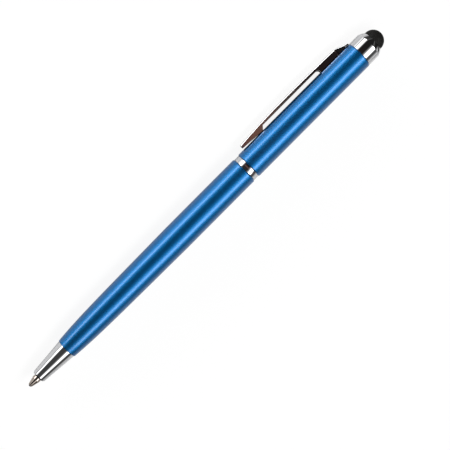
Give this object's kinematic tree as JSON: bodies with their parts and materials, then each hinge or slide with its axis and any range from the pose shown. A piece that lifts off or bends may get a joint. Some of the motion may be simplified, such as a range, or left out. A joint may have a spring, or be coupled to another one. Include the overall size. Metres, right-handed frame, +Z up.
{
  "type": "ballpoint pen",
  "caption": "Slim twist-action ballpoint pen with a tapered metal barrel, chrome nose cone, pocket clip and a soft rubber stylus tip.",
  "frame": {"origin": "middle of the pen's footprint on the table it lies on, with the point out and the clip's edge resting on the table", "axes": "+X along the pen from the writing point to the stylus tip, +Y towards the clip's side, +Z up"},
  "size_m": [0.134, 0.01, 0.008],
  "materials": {
    "anodised_blue": "satin",
    "chrome": "polished",
    "brass": "satin",
    "nickel_silver": "satin",
    "steel": "satin",
    "ball_carbide": "polished",
    "stylus_rubber": "matte",
    "black_rubber": "matte",
    "white_plastic": "satin",
    "grey_plastic": "satin",
    "ink": "gloss",
    "grease": "gloss"
  },
  "bodies": {
    "lower_half": {"nose_cone": "chrome", "lower_barrel": "anodised_blue", "mechanism_bush": "white_plastic", "guide_tube": "brass", "friction_ring": "black_rubber", "stop_ring": "brass"},
    "upper_half": {"centre_ring": "chrome", "upper_barrel": "anodised_blue", "upper_liner": "white_plastic", "cam_sleeve": "grey_plastic", "top_plug": "white_plastic", "stylus_holder": "chrome", "stylus_core": "grey_plastic", "stylus_dome": "stylus_rubber"},
    "clip_spring": {"clip": "chrome"},
    "refill_unit": {"carrier": "grey_plastic", "drive_pin": "steel", "refill_plug": "white_plastic", "refill_tube": "brass", "ink": "ink", "grease_follower": "grease", "refill_tip": "nickel_silver"},
    "rolling_ball": {"writing_ball": "ball_carbide"}
  },
  "joints": [
    {"name": "twist", "type": "hinge", "parent": "lower_half", "child": "upper_half", "pos_m": [0.0149, -0.00105, 0.004], "axis": [1, 0, 0], "range_deg": [0, 180]},
    {"name": "refill_slide", "type": "slide", "parent": "lower_half", "child": "refill_unit", "axis": [1, 0, 0], "range_m": [0, 0.0055]},
    {"name": "clip_flex", "type": "hinge", "parent": "upper_half", "child": "clip_spring", "pos_m": [0.0583, 0.00232, 0.00236], "axis": [0, -0.4383, -0.8988], "range_deg": [0, 3], "stiffness_Nm_per_rad": 1, "springref_deg": -1.15},
    {"name": "ball_roll", "type": "hinge", "parent": "refill_unit", "child": "rolling_ball", "pos_m": [-0.0665, -0.00105, 0.004], "axis": [0, 1, 0], "continuous": true}
  ],
  "couplings": [
    {"joint": "refill_slide", "follows": "twist", "m_per_rad": 0.0017507}
  ]
}
